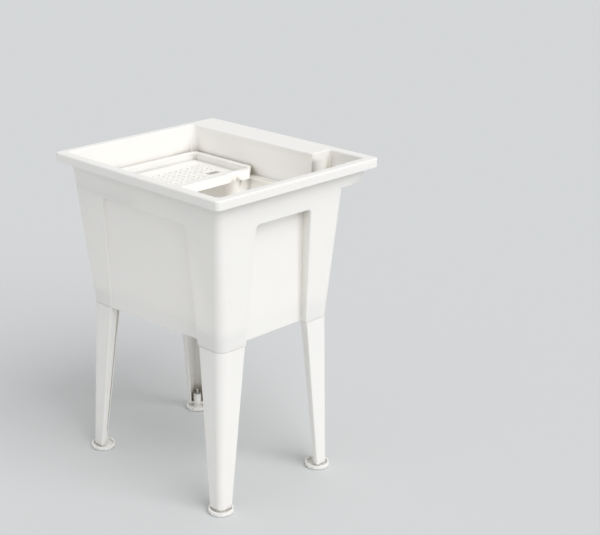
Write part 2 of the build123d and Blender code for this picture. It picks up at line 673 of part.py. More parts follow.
def locknut():
    """Round nut with lugs under the bowl floor."""
    high = FLOOR_LOW - WALL - GASKET_HEIGHT - WASHER_HEIGHT
    low = high - LOCKNUT_HEIGHT
    body = ring(LOCKNUT_RADIUS, SPUD_RADIUS + RING_CLEARANCE, low, high)
    lug = Box(2 * LUG_REACH, LUG_WIDTH, LOCKNUT_HEIGHT)
    for turn in range(LOCKNUT_LUGS):
        place = Pos(0, drain_y(), (low + high) / 2) * Rot(0, 0, 360 * turn / LOCKNUT_LUGS)
        body = body + place * Pos(LOCKNUT_RADIUS, 0, 0) * lug
    return body


def coupling_nut():
    """Eight-sided nut that holds the tailpiece to the strainer's neck."""
    seat = FLOOR_LOW - SPUD_LENGTH - SEAL_HEIGHT - TAIL_FLANGE_HEIGHT
    high = FLOOR_LOW - SPUD_LENGTH + COUPLING_GRIP
    low = seat - COUPLING_LIP
    body = Pos(0, drain_y(), low) * extrude(RegularPolygon(COUPLING_RADIUS, COUPLING_SIDES), high - low)
    body = chamfer(body.edges().group_by(Axis.Z)[0], COUPLING_CHAMFER)
    thread_depth = high - seat + OVERRUN
    thread = Cylinder(SPUD_NECK_RADIUS + RING_CLEARANCE, thread_depth)
    passage = Cylinder(TAIL_RADIUS + TAIL_COLLAR + RING_CLEARANCE, 2 * (seat - low))
    body = body - Pos(0, drain_y(), seat + thread_depth / 2) * thread
    return body - Pos(0, drain_y(), (low + seat) / 2) * passage


def tailpiece():
    """Flanged outlet tube, a little thicker above the length that enters the trap."""
    top = FLOOR_LOW - SPUD_LENGTH - SEAL_HEIGHT
    bore = TAIL_RADIUS - TAIL_WALL
    collar_low = TAIL_END + TAIL_GRIP
    tube = ring(TAIL_RADIUS, bore, TAIL_END, collar_low)
    tube = tube + ring(TAIL_RADIUS + TAIL_COLLAR, bore, collar_low, top)
    return tube + ring(TAIL_FLANGE_RADIUS, bore, top - TAIL_FLANGE_HEIGHT, top)


def stopper():
    """Rubber stopper with a tapered plug and a knob, resting on the strainer's flange."""
    seat = FLOOR_LOW + FLANGE_HEIGHT + STOPPER_CLEARANCE
    cap_top = seat + STOPPER_CAP_HEIGHT
    plug_radius = SPUD_BORE - STOPPER_CLEARANCE
    centre = Pos(0, drain_y(), 0)
    plug = Cone(plug_radius - STOPPER_TAPER, plug_radius, STOPPER_PLUG_HEIGHT)
    cap = Cylinder(STOPPER_CAP_RADIUS, STOPPER_CAP_HEIGHT)
    cap = fillet(cap.edges().group_by(Axis.Z)[-1], STOPPER_ROUND)
    neck = Cylinder(KNOB_NECK_RADIUS, KNOB_NECK_HEIGHT)
    knob = fillet(Cylinder(KNOB_RADIUS, KNOB_HEIGHT).edges().filter_by(GeomType.CIRCLE), KNOB_ROUND)
    body = Pos(0, 0, seat - STOPPER_PLUG_HEIGHT / 2) * plug
    body = body + Pos(0, 0, seat + STOPPER_CAP_HEIGHT / 2) * cap
    body = body + Pos(0, 0, cap_top + KNOB_NECK_HEIGHT / 2) * neck
    body = body + Pos(0, 0, cap_top + KNOB_NECK_HEIGHT + KNOB_HEIGHT / 2) * knob
    return centre * body


def at_corner(shape, right, back):
    """Place a shape drawn from a leg's outer corner at one of the four corners."""
    side = side_inset(BODY_BASE)
    rear = back_inset(BODY_BASE)
    if right:
        shape = mirror(shape, Plane.YZ)
    if back:
        shape = mirror(shape, Plane.XZ)
    x = RIGHT - side if right else LEFT + side
    y = BACK - rear if back else FRONT + side
    return Pos(x, y, 0) * shape


def legs_and_feet():
    """Legs, nuts, studs and feet, by corner."""
    pieces = {}
    for back in (False, True):
        splay_y = LEG_SPLAY_BACK if back else LEG_SPLAY_FRONT
        place = foot_place(LEG_SPLAY_SIDE, splay_y)
        for right in (False, True):
            corner = ("back" if back else "front") + "_" + ("right" if right else "left")
            makers = {
                "leg_": leg(LEG_SPLAY_SIDE, splay_y),
                "leg_nut_": nut(place),
                "foot_stud_": stud(place),
                "levelling_foot_": foot(place),
            }
            for name, shape in makers.items():
                pieces[name + corner] = at_corner(shape, right, back)
    return pieces


def drain():
    """Drain pieces, from the stopper down to the tailpiece."""
    under_floor = FLOOR_LOW - WALL
    under_gasket = under_floor - GASKET_HEIGHT
    spud_low = FLOOR_LOW - SPUD_LENGTH
    bore = SPUD_RADIUS + RING_CLEARANCE
    seal_bore = TAIL_RADIUS - TAIL_WALL
    return {
        "drain_strainer": strainer(),
        "drain_gasket": ring(GASKET_RADIUS, bore, under_gasket, under_floor),
        "friction_washer": ring(WASHER_RADIUS, bore, under_gasket - WASHER_HEIGHT, under_gasket),
        "drain_locknut": locknut(),
        "tailpiece_seal": ring(TAIL_FLANGE_RADIUS, seal_bore, spud_low - SEAL_HEIGHT, spud_low),
        "tailpiece": tailpiece(),
        "coupling_nut": coupling_nut(),
        "sink_stopper": stopper(),
    }


nodes = {"tub": tub(), "perforated_tray": tray()}
nodes.update(legs_and_feet())
nodes.update(drain())
for name, shape in nodes.items():
    export_step(shape, "parts/" + name + ".step")
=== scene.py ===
import json
import math

import bmesh
import bpy
from bpy.props import (
    FloatProperty,
    FloatVectorProperty,
    IntProperty,
    PointerProperty,
)
from mathutils import Matrix, Vector


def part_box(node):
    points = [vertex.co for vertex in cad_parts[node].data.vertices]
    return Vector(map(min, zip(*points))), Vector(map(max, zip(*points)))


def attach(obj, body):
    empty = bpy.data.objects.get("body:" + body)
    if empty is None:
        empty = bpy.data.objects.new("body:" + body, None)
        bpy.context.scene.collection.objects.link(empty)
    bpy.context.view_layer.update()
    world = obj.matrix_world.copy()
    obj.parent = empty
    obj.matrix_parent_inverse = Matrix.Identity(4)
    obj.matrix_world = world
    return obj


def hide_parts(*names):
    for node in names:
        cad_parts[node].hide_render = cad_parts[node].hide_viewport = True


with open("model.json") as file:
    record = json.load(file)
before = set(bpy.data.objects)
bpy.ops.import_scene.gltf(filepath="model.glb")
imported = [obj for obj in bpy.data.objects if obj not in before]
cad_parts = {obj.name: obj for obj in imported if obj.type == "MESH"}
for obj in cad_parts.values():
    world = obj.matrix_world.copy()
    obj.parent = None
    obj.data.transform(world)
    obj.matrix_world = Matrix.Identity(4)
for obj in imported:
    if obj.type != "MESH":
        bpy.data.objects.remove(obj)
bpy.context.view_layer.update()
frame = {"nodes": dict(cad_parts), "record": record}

bl_info = {
    "name": "Utility laundry sink",
    "version": (1, 0, 0),
    "blender": (4, 5, 0),
    "location": "View3D > Sidebar > Laundry Sink",
    "description": "Finishes a free-standing moulded laundry sink and sets its stage",
    "category": "Object",
}

CORNERS = ("front_left", "front_right", "back_left", "back_right")
DRAIN_MOULDINGS = ("drain_strainer", "drain_locknut", "tailpiece", "coupling_nut")
WHITE_PLASTIC = "injection_moulded_polypropylene"
MERGE_DISTANCE = 1e-6

# Shares of open air round a point at which the painted corner shade is full, and at which it
# ends.
CORNER_AIR = (0.3, 0.65)
CREASE_AIR = (0.5, 0.95)

body_of_node = {
    node: body
    for body, nodes in frame["record"]["behaviour"]["bodies"].items()
    for node in nodes
}


def linear(hex_colour):
    """Turn an sRGB hex colour into linear red, green and blue."""
    channels = [int(hex_colour[i:i + 2], 16) / 255 for i in (1, 3, 5)]
    return [c / 12.92 if c <= 0.04045 else ((c + 0.055) / 1.055) ** 2.4 for c in channels]


def add_node(tree, kind, inputs=None, **settings):
    """Add a node, with its settings and with each input set or linked."""
    node = tree.nodes.new(kind)
    for name, value in settings.items():
        setattr(node, name, value)
    for key, value in (inputs or {}).items():
        if isinstance(value, bpy.types.NodeSocket):
            tree.links.new(value, node.inputs[key])
        else:
            node.inputs[key].default_value = value
    return node


def start_material(name):
    """Empty node material and its object-space coordinates."""
    material = bpy.data.materials.new(name)
    material.use_nodes = True
    tree = material.node_tree
    tree.nodes.clear()
    place = add_node(tree, "ShaderNodeTexCoord").outputs["Object"]
    return material, tree, place


def finish_material(tree, shader):
    """Join a shader to the material's output."""
    add_node(tree, "ShaderNodeOutputMaterial", {"Surface": shader})


# ---- settings ----

class MouldedFinish(bpy.types.PropertyGroup):
    white: FloatVectorProperty(
        name="White", description="Colour of the moulded tub, tray, legs and drain",
        subtype="COLOR", min=0, max=1, default=linear("#FCFAF6"),
    )
    warm_white: FloatVectorProperty(
        name="Aged White", description="Faint warm tint that the moulding drifts to",
        subtype="COLOR", min=0, max=1, default=linear("#F9F6F1"),
    )
    foot_white: FloatVectorProperty(
        name="Foot White", description="Colour of the levelling feet",
        subtype="COLOR", min=0, max=1, default=linear("#F6F6F3"),
    )
    # Painted shade: the settings below grey the inner corners and creases by how closed in they
    # are, standing in for the shade that falls there.
    painted_shade: FloatVectorProperty(
        name="Painted Shade", description="Colour that the inner corners grey to",
        subtype="COLOR", min=0, max=1, default=linear("#B4B0A6"),
    )
    painted_shade_strength: FloatProperty(
        name="Painted Shade Strength", description="How far the inner corners grey",
        min=0, max=1, default=0.9,
    )
    painted_shade_reach: FloatProperty(
        name="Painted Shade Reach", description="How far the grey reaches out of a corner",
        subtype="DISTANCE", default=0.06,
    )
    crease_shade_strength: FloatProperty(
        name="Crease Strength", description="How far the narrow creases grey",
        min=0, max=1, default=0.55,
    )
    crease_shade_reach: FloatProperty(
        name="Crease Reach", description="How far the grey reaches out of a crease",
        subtype="DISTANCE", default=0.008,
    )
    # Painted shade on the feet: a share of the corner and crease shade above.
    foot_shade_share: FloatProperty(
        name="Foot Shade Share", description="Share of that grey which the feet take on",
        min=0, max=1, default=0.15,
    )
    glow: FloatProperty(
        name="Glow", description="Share of the light that scatters inside the plastic",
        min=0, max=1, default=0.4,
    )
    glow_reach: FloatVectorProperty(
        name="Glow Reach", description="How far red, green and blue light scatter inside it",
        subtype="XYZ", default=(0.009, 0.0088, 0.0083),
    )
    roughness: FloatProperty(
        name="Roughness", description="Dullness of the moulded faces",
        min=0, max=1, default=0.36,
    )
    foot_roughness: FloatProperty(
        name="Foot Roughness", description="Dullness of the feet",
        min=0, max=1, default=0.48,
    )
    grain: FloatProperty(
        name="Grain", description="Size of the fine texture, coarser than real so it shows",
        subtype="DISTANCE", default=0.0016,
    )
    ripple: FloatProperty(
        name="Ripple", description="Spacing of the shallow sink marks in the broad walls",
        subtype="DISTANCE", default=0.11,
    )
    smooth_angle: FloatProperty(
        name="Smooth Angle", description="Blends are shaded soft up to this angle",
        subtype="ANGLE", default=math.radians(32),
    )
    foot_smooth_angle: FloatProperty(
        name="Foot Smooth Angle", description="The feet's facets stay crisp past this angle",
        subtype="ANGLE", default=math.radians(20),
    )


class FittingFinish(bpy.types.PropertyGroup):
    zinc: FloatVectorProperty(
        name="Zinc", description="Colour of the plating on the studs and nuts",
        subtype="COLOR", min=0, max=1, default=linear("#C4C7C8"),
    )
    zinc_bloom: FloatVectorProperty(
        name="Zinc Bloom", description="Paler colour of the plating's clouds",
        subtype="COLOR", min=0, max=1, default=linear("#DEDDD8"),
    )
    zinc_crystal: FloatProperty(
        name="Zinc Crystal", description="Size of its clouds, coarser than real so they show",
        subtype="DISTANCE", default=0.0011,
    )
    rubber: FloatVectorProperty(
        name="Rubber", description="Colour of the stopper, the gasket and the seal",
        subtype="COLOR", min=0, max=1, default=linear("#1D1D1E"),
    )
    rubber_bloom: FloatVectorProperty(
        name="Rubber Bloom", description="Colour of the pale bloom on the rubber",
        subtype="COLOR", min=0, max=1, default=linear("#343434"),
    )
    rubber_patch: FloatProperty(
        name="Rubber Patch", description="Size of the bloom's patches",
        subtype="DISTANCE", default=0.0083,
    )
    rubber_pore: FloatProperty(
        name="Rubber Pore", description="Size of its pores, coarser than real so they show",
        subtype="DISTANCE", default=0.0007,
    )
    fibre: FloatVectorProperty(
        name="Fibre", description="Colour of the friction washer",
        subtype="COLOR", min=0, max=1, default=linear("#8B8984"),
    )
    fibre_fleck: FloatVectorProperty(
        name="Fibre Fleck", description="Colour of the washer's specks",
        subtype="COLOR", min=0, max=1, default=linear("#A7A49D"),
    )
    fibre_length: FloatProperty(
        name="Fibre Length", description="Size of the washer's specks",
        subtype="DISTANCE", default=0.0014,
    )


class ThreadSizes(bpy.types.PropertyGroup):
    stud_pitch: FloatProperty(
        name="Stud Pitch", description="Spacing of the foot stud's thread",
        subtype="DISTANCE", default=0.0020,
    )
    stud_depth: FloatProperty(
        name="Stud Depth", description="Height of the foot stud's thread",
        subtype="DISTANCE", default=0.0007,
    )
    barrel_radius: FloatProperty(
        name="Barrel Radius", description="Outer radius of the strainer barrel's thread",
        subtype="DISTANCE", default=0.0262,
    )
    barrel_pitch: FloatProperty(
        name="Barrel Pitch", description="Spacing of the strainer barrel's thread",
        subtype="DISTANCE", default=0.0025,
    )
    barrel_depth: FloatProperty(
        name="Barrel Depth", description="Height of the strainer barrel's thread",
        subtype="DISTANCE", default=0.0003,
    )
    stud_steps: IntProperty(
        name="Stud Steps", description="Points in one turn of the foot stud's thread",
        min=8, max=96, default=28,
    )
    barrel_steps: IntProperty(
        name="Barrel Steps", description="Points in one turn of the barrel's thread",
        min=8, max=96, default=56,
    )
    smooth_angle: FloatProperty(
        name="Smooth Angle", description="A thread's faces are shaded soft up to this angle",
        subtype="ANGLE", default=math.radians(40),
    )


class StageSettings(bpy.types.PropertyGroup):
    backdrop: FloatVectorProperty(
        name="Backdrop", description="Colour of the floor and of what is behind it",
        subtype="COLOR", min=0, max=1, default=linear("#D5D7D8"),
    )
    floor_tone: FloatProperty(
        name="Floor Tone", description="Floor's reflectance over the backdrop's colour",
        min=0, max=2, default=1.03,
    )
    floor_reach: FloatProperty(
        name="Floor Reach", description="How far the floor runs on each side of the sink",
        subtype="DISTANCE", default=60.0,
    )
    ambient: FloatProperty(
        name="Ambient", description="Light from all round",
        min=0, max=2, default=0.58,
    )
    key: FloatProperty(
        name="Key", description="Strength of the broad lamp at the right",
        min=0, max=10, default=1.7,
    )
    key_softness: FloatProperty(
        name="Key Softness", description="Angle that the broad lamp fills",
        subtype="ANGLE", default=math.radians(50),
    )
    key_from: FloatVectorProperty(
        name="Key From", description="Direction that the broad lamp shines from",
        subtype="DIRECTION", default=(0.70, -0.02, 0.71),
    )
    bowl_fill: FloatProperty(
        name="Bowl Fill", description="Watts of the panel that lights the bowl's inside",
        min=0, max=10, default=0.33,
    )
    bowl_fill_size: FloatVectorProperty(
        name="Bowl Fill Size", description="Width and height of that panel", size=2,
        subtype="XYZ", default=(0.30, 0.12),
    )
    bowl_fill_place: FloatVectorProperty(
        name="Bowl Fill Place", description="Where it stands, in front of the bowl's right wall",
        subtype="TRANSLATION", default=(0.215, -0.03, 0.63),
    )
    bowl_fill_towards: FloatVectorProperty(
        name="Bowl Fill Towards", description="Direction that it shines in",
        subtype="DIRECTION", default=(-1.0, 0.0, -0.3),
    )
    focal_length: FloatProperty(
        name="Focal Length", description="Camera lens in millimetres",
        min=1, max=300, default=74.69,
    )
    sensor_width: FloatProperty(
        name="Sensor Width", description="Width of the camera's sensor in millimetres",
        min=1, max=100, default=36.0,
    )
    lens_shift: FloatVectorProperty(
        name="Lens Shift", description="Sideways and upward shift that frames the photograph",
        size=2, subtype="XYZ", default=(0.125, 0.0875),
    )
    camera_place: FloatVectorProperty(
        name="Camera Place", description="Where the camera stands",
        subtype="TRANSLATION", default=(2.3343, -2.1060, 1.6874),
    )
    heading: FloatProperty(
        name="Heading", description="Camera's turn about the vertical",
        subtype="ANGLE", default=math.radians(47.544),
    )
    tilt: FloatProperty(
        name="Tilt", description="How far the camera looks down",
        subtype="ANGLE", default=math.radians(22.246),
    )
    roll: FloatProperty(
        name="Roll", description="Camera's lean about its own axis",
        subtype="ANGLE", default=math.radians(-0.595),
    )


# ---- materials ----

def painted_shade_near(tree, reach, air, strength):
    """Share of the painted corner shade at a point, by how much open air is left within reach.
    """
    full, none = air
    shelter = add_node(tree, "ShaderNodeAmbientOcclusion", {"Distance": reach}, samples=8)
    share = add_node(
        tree, "ShaderNodeMapRange",
        {
            "Value": shelter.outputs["AO"],
            "From Min": full,
            "From Max": none,
            "To Min": strength,
            "To Max": 0.0,
        },
    )
    return share.outputs["Result"]


def moulded_plastic(name, colour, roughness, finish, shade_share=1.0):
    """Injection-moulded polypropylene, or polyethylene for the feet: white and slightly waxy,
    with a soft sheen, a fine spark-eroded grain and shallow sink marks across its broad walls,
    and painted shade that greys its inner corners and creases."""
    grain = finish.grain
    ripple = finish.ripple
    cloud_spacing = ripple / 0.6
    glossiest = roughness - 0.05
    dullest = roughness + 0.07
    mark_depth = ripple * 0.012
    grain_depth = grain * 0.08
    material, tree, place = start_material(name)
    clouds = add_node(
        tree, "ShaderNodeTexNoise",
        {"Vector": place, "Scale": 1.0 / cloud_spacing, "Detail": 3.0},
    )
    tint = add_node(
        tree, "ShaderNodeMix",
        {"Factor": clouds.outputs["Fac"], "A": (*colour, 1.0), "B": (*finish.warm_white, 1.0)},
        data_type="RGBA",
    )
    # Painted shade: inner corners and creases are mixed toward the shade colour by how little
    # open air is near them.
    corners = painted_shade_near(
        tree, finish.painted_shade_reach, CORNER_AIR, finish.painted_shade_strength * shade_share
    )
    creases = painted_shade_near(
        tree, finish.crease_shade_reach, CREASE_AIR, finish.crease_shade_strength * shade_share
    )
    painted_shade = add_node(tree, "ShaderNodeMath", {0: corners, 1: creases}, operation="MAXIMUM")
    shaded_tint = add_node(
        tree, "ShaderNodeMix",
        {
            "Factor": painted_shade.outputs["Value"],
            "A": tint.outputs["Result"],
            "B": (*finish.painted_shade, 1.0),
        },
        data_type="RGBA",
    )
    sheen_patches = add_node(
        tree, "ShaderNodeMapRange",
        {"Value": clouds.outputs["Fac"], "To Min": glossiest, "To Max": dullest},
    )
    marks = add_node(
        tree, "ShaderNodeTexNoise", {"Vector": place, "Scale": 1.0 / ripple, "Detail": 1.0}
    )
    waves = add_node(
        tree, "ShaderNodeBump",
        {"Height": marks.outputs["Fac"], "Strength": 0.35, "Distance": mark_depth},
    )
    grit = add_node(
        tree, "ShaderNodeTexNoise", {"Vector": place, "Scale": 1.0 / grain, "Detail": 2.0}
    )
    surface = add_node(
        tree, "ShaderNodeBump",
        {
            "Height": grit.outputs["Fac"],
            "Strength": 0.16,
            "Distance": grain_depth,
            "Normal": waves.outputs["Normal"],
        },
    )
    shader = add_node(
        tree, "ShaderNodeBsdfPrincipled",
        {
            "Base Color": shaded_tint.outputs["Result"],
            "Roughness": sheen_patches.outputs["Result"],
            "Normal": surface.outputs["Normal"],
            "IOR": 1.49,
            "Subsurface Weight": finish.glow,
            "Subsurface Radius": tuple(finish.glow_reach),
            "Subsurface Scale": 1.0,
        },
    )
    finish_material(tree, shader.outputs["BSDF"])
    return material


def zinc_plated_steel(finish):
    """Zinc-plated steel, drawn and rolled: dull silver with faint cloudy crystals."""
    material, tree, place = start_material("zinc_plated_rolled_steel")
    clouds = add_node(
        tree, "ShaderNodeTexNoise",
        {"Vector": place, "Scale": 1.0 / finish.zinc_crystal, "Detail": 3.0},
    )
    tint = add_node(
        tree, "ShaderNodeMix",
        {
            "Factor": clouds.outputs["Fac"],
            "A": (*finish.zinc, 1.0),
            "B": (*finish.zinc_bloom, 1.0),
        },
        data_type="RGBA",
    )
    dullness = add_node(
        tree, "ShaderNodeMapRange",
        {"Value": clouds.outputs["Fac"], "To Min": 0.38, "To Max": 0.55},
    )
    shader = add_node(
        tree, "ShaderNodeBsdfPrincipled",
        {
            "Base Color": tint.outputs["Result"],
            "Metallic": 1.0,
            "Roughness": dullness.outputs["Result"],
        },
    )
    finish_material(tree, shader.outputs["BSDF"])
    return material


def moulded_rubber(finish):
    """Compression-moulded EPDM rubber: near black and matt, with a pale bloom in patches."""
    material, tree, place = start_material("compression_moulded_rubber")
    bloom = add_node(
        tree, "ShaderNodeTexNoise",
        {"Vector": place, "Scale": 1.0 / finish.rubber_patch, "Detail": 4.0},
    )
    tint = add_node(
        tree, "ShaderNodeMix",
        {
            "Factor": bloom.outputs["Fac"],
            "A": (*finish.rubber, 1.0),
            "B": (*finish.rubber_bloom, 1.0),
        },
        data_type="RGBA",
    )
    pores = add_node(
        tree, "ShaderNodeTexNoise",
        {"Vector": place, "Scale": 1.0 / finish.rubber_pore, "Detail": 2.0},
    )
    pore_depth = 0.0002
    surface = add_node(
        tree, "ShaderNodeBump",
        {"Height": pores.outputs["Fac"], "Strength": 0.2, "Distance": pore_depth},
    )
    shader = add_node(
        tree, "ShaderNodeBsdfPrincipled",
        {
            "Base Color": tint.outputs["Result"],
            "Roughness": 0.72,
            "Normal": surface.outputs["Normal"],
            "IOR": 1.52,
        },
    )
    finish_material(tree, shader.outputs["BSDF"])
    return material


def pressed_fibre(finish):
    """Pressed fibre sheet, punched: grey and dry, with short specks of fibre."""
    material, tree, place = start_material("pressed_fibre_sheet")
    specks = add_node(
        tree, "ShaderNodeTexVoronoi", {"Vector": place, "Scale": 1.0 / finish.fibre_length}
    )
    tint = add_node(
        tree, "ShaderNodeMix",
        {
            "Factor": specks.outputs["Distance"],
            "A": (*finish.fibre, 1.0),
            "B": (*finish.fibre_fleck, 1.0),
        },
        data_type="RGBA",
    )
    shader = add_node(
        tree, "ShaderNodeBsdfPrincipled",
        {"Base Color": tint.outputs["Result"], "Roughness": 0.85, "IOR": 1.5},
    )
    finish_material(tree, shader.outputs["BSDF"])
    return material


def studio_paper(colour, tone):
    """Seamless studio paper: flat, even and matt, with a faint tooth."""
    tooth_spacing = 0.0033
    tooth_height = 0.0002
    material, tree, place = start_material("seamless_studio_paper")
    tooth = add_node(
        tree, "ShaderNodeTexNoise", {"Vector": place, "Scale": 1.0 / tooth_spacing}
    )
    surface = add_node(
        tree, "ShaderNodeBump",
        {"Height": tooth.outputs["Fac"], "Strength": 0.05, "Distance": tooth_height},
    )
    shader = add_node(
        tree, "ShaderNodeBsdfPrincipled",
        {
            "Base Color": (*[channel * tone for channel in colour], 1.0),
            "Roughness": 1.0,
            "Specular IOR Level": 0.0,
            "Normal": surface.outputs["Normal"],
        },
    )
    finish_material(tree, shader.outputs["BSDF"])
    return material


# ---- pieces ----

def soft_skin(node, name, material, angle):
    """Stand for a CAD node with its own mesh, merged and softly shaded over its blends."""
    mesh = frame["nodes"][node].data.copy()
    mesh.name = name
    build = bmesh.new()
    build.from_mesh(mesh)
    bmesh.ops.remove_doubles(build, verts=build.verts, dist=MERGE_DISTANCE)
    build.to_mesh(mesh)
    build.free()
    mesh.shade_smooth()
    mesh.set_sharp_from_angle(angle=angle)
    mesh.materials.clear()
    mesh.materials.append(material)
    piece = bpy.data.objects.new(name, mesh)
    bpy.context.scene.collection.objects.link(piece)
    weights = piece.modifiers.new("even_faces", "WEIGHTED_NORMAL")
    weights.keep_sharp = True
    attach(piece, body_of_node[node])
    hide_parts(node)


def dress(node, material):
    """Give a carried-over node its finish."""
    data = frame["nodes"][node].data
    data.materials.clear()
    data.materials.append(material)


def thread_tree():
    """Rule for a threaded rod: a core, and a ridge that climbs round it by the pitch."""
    tree = bpy.data.node_groups.new("screw_thread", "GeometryNodeTree")
    tree.interface.new_socket("Geometry", in_out="OUTPUT", socket_type="NodeSocketGeometry")
    for name in ("Outer Radius", "Ridge Depth", "Pitch", "Length"):
        tree.interface.new_socket(name, in_out="INPUT", socket_type="NodeSocketFloat")
    tree.interface.new_socket("Steps", in_out="INPUT", socket_type="NodeSocketInt")
    tree.interface.new_socket("Base", in_out="INPUT", socket_type="NodeSocketVector")
    tree.interface.new_socket("Material", in_out="INPUT", socket_type="NodeSocketMaterial")
    given = add_node(tree, "NodeGroupInput").outputs
    core_radius = add_node(
        tree, "ShaderNodeMath", {0: given["Outer Radius"], 1: given["Ridge Depth"]},
        operation="SUBTRACT",
    ).outputs[0]
    climb = add_node(
        tree, "ShaderNodeMath", {0: given["Length"], 1: given["Pitch"]}, operation="SUBTRACT"
    ).outputs[0]
    turns = add_node(
        tree, "ShaderNodeMath", {0: climb, 1: given["Pitch"]}, operation="DIVIDE"
    ).outputs[0]
    half_pitch = add_node(
        tree, "ShaderNodeMath", {0: given["Pitch"], 1: 0.5}, operation="MULTIPLY"
    ).outputs[0]
    half_length = add_node(
        tree, "ShaderNodeMath", {0: given["Length"], 1: 0.5}, operation="MULTIPLY"
    ).outputs[0]
    spiral = add_node(
        tree, "GeometryNodeCurveSpiral",
        {
            "Resolution": given["Steps"],
            "Rotations": turns,
            "Start Radius": core_radius,
            "End Radius": core_radius,
            "Height": climb,
        },
    )
    lozenge = add_node(
        tree, "GeometryNodeCurvePrimitiveCircle",
        {"Resolution": 4, "Radius": given["Ridge Depth"]},
    )
    ridge = add_node(
        tree, "GeometryNodeCurveToMesh",
        {
            "Curve": spiral.outputs["Curve"],
            "Profile Curve": lozenge.outputs["Curve"],
            "Fill Caps": True,
        },
    )
    raised = add_node(
        tree, "GeometryNodeTransform",
        {
            "Geometry": ridge.outputs["Mesh"],
            "Translation": add_node(
                tree, "ShaderNodeCombineXYZ", {"Z": half_pitch}
            ).outputs["Vector"],
        },
    )
    core = add_node(
        tree, "GeometryNodeMeshCylinder",
        {"Vertices": given["Steps"], "Radius": core_radius, "Depth": given["Length"]},
    )
    standing = add_node(
        tree, "GeometryNodeTransform",
        {
            "Geometry": core.outputs["Mesh"],
            "Translation": add_node(
                tree, "ShaderNodeCombineXYZ", {"Z": half_length}
            ).outputs["Vector"],
        },
    )
    both = add_node(tree, "GeometryNodeJoinGeometry")
    tree.links.new(raised.outputs["Geometry"], both.inputs["Geometry"])
    tree.links.new(standing.outputs["Geometry"], both.inputs["Geometry"])
    placed = add_node(
        tree, "GeometryNodeTransform",
        {"Geometry": both.outputs["Geometry"], "Translation": given["Base"]},
    )
    real = add_node(
        tree, "GeometryNodeRealizeInstances", {"Geometry": placed.outputs["Geometry"]}
    )
    finish = add_node(
        tree, "GeometryNodeSetMaterial",
        {"Geometry": real.outputs["Geometry"], "Material": given["Material"]},
    )
    add_node(tree, "NodeGroupOutput", {"Geometry": finish.outputs["Geometry"]})
    return tree


def roll_thread(name, values, smooth_angle, body):
    """Run the thread's rule with its named inputs and keep the result as a plain mesh."""
    tree = bpy.data.node_groups.get("screw_thread") or thread_tree()
    seed = bpy.data.objects.new(name, bpy.data.meshes.new(name))
    bpy.context.scene.collection.objects.link(seed)
    modifier = seed.modifiers.new("rule", "NODES")
    modifier.node_group = tree
    for item in tree.interface.items_tree:
        if item.in_out == "INPUT":
            modifier[item.identifier] = values[item.name]
    shown = seed.evaluated_get(bpy.context.evaluated_depsgraph_get())
    mesh = bpy.data.meshes.new_from_object(shown)
    seed.modifiers.remove(modifier)
    seed.data = mesh
    mesh.shade_smooth()
    mesh.set_sharp_from_angle(angle=smooth_angle)
    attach(seed, body)
    return seed


def white_polypropylene(finish):
    """The tub's own polypropylene, made once and shared by all the white mouldings."""
    made = bpy.data.materials.get(WHITE_PLASTIC)
    return made or moulded_plastic(WHITE_PLASTIC, finish.white, finish.roughness, finish)


# ---- stage ----

def lay_floor(stage):
    """Lay a broad sheet of paper under the sink."""
    reach = stage.floor_reach
    mesh = bpy.data.meshes.new("studio_floor")
    mesh.from_pydata(
        [(-reach, -reach, 0), (reach, -reach, 0), (reach, reach, 0), (-reach, reach, 0)],
        [], [(0, 1, 2, 3)],
    )
    mesh.materials.append(studio_paper(stage.backdrop, stage.floor_tone))
    floor = bpy.data.objects.new("studio_floor", mesh)
    bpy.context.scene.collection.objects.link(floor)


def light_room(stage):
    """Even white light from all round, and the backdrop's colour where it is looked at."""
    world = bpy.data.worlds.new("soft_room")
    world.use_nodes = True
    tree = world.node_tree
    tree.nodes.clear()
    rays = add_node(tree, "ShaderNodeLightPath").outputs
    seen_or_mirrored = add_node(
        tree, "ShaderNodeMath", {0: rays["Is Camera Ray"], 1: rays["Is Glossy Ray"]},
        operation="MAXIMUM",
    )
    looked_at = add_node(
        tree, "ShaderNodeMath",
        {0: seen_or_mirrored.outputs["Value"], 1: rays["Is Transmission Ray"]},
        operation="MAXIMUM",
    )
    room = add_node(
        tree, "ShaderNodeBackground", {"Color": (1.0, 1.0, 1.0, 1.0), "Strength": stage.ambient}
    )
    backdrop = add_node(
        tree, "ShaderNodeBackground", {"Color": (*stage.backdrop, 1.0), "Strength": 1.0}
    )
    mixed = add_node(
        tree, "ShaderNodeMixShader",
        {
            0: looked_at.outputs["Value"],
            1: room.outputs["Background"],
            2: backdrop.outputs["Background"],
        },
    )
    add_node(tree, "ShaderNodeOutputWorld", {"Surface": mixed.outputs["Shader"]})
    bpy.context.scene.world = world


def add_sun(name, strength, angle, shines_from):
    """Soft lamp a long way off, which fills an angle round one direction."""
    lamp = bpy.data.lights.new(name, "SUN")
    lamp.energy = strength
    lamp.angle = angle
    sun = bpy.data.objects.new(name, lamp)
    sun.rotation_mode = "QUATERNION"
    sun.rotation_quaternion = Vector(shines_from).to_track_quat("Z", "Y")
    bpy.context.scene.collection.objects.link(sun)


def add_panel(name, power, size, place, shines_to):
    """Soft rectangular lamp, lit on one side, at a place and turned towards a direction."""
    lamp = bpy.data.lights.new(name, "AREA")
    lamp.shape = "RECTANGLE"
    lamp.size, lamp.size_y = size
    lamp.energy = power
    panel = bpy.data.objects.new(name, lamp)
    panel.location = place
    panel.rotation_mode = "QUATERNION"
    panel.rotation_quaternion = Vector(shines_to).to_track_quat("-Z", "Y")
    panel.visible_camera = False
    bpy.context.scene.collection.objects.link(panel)


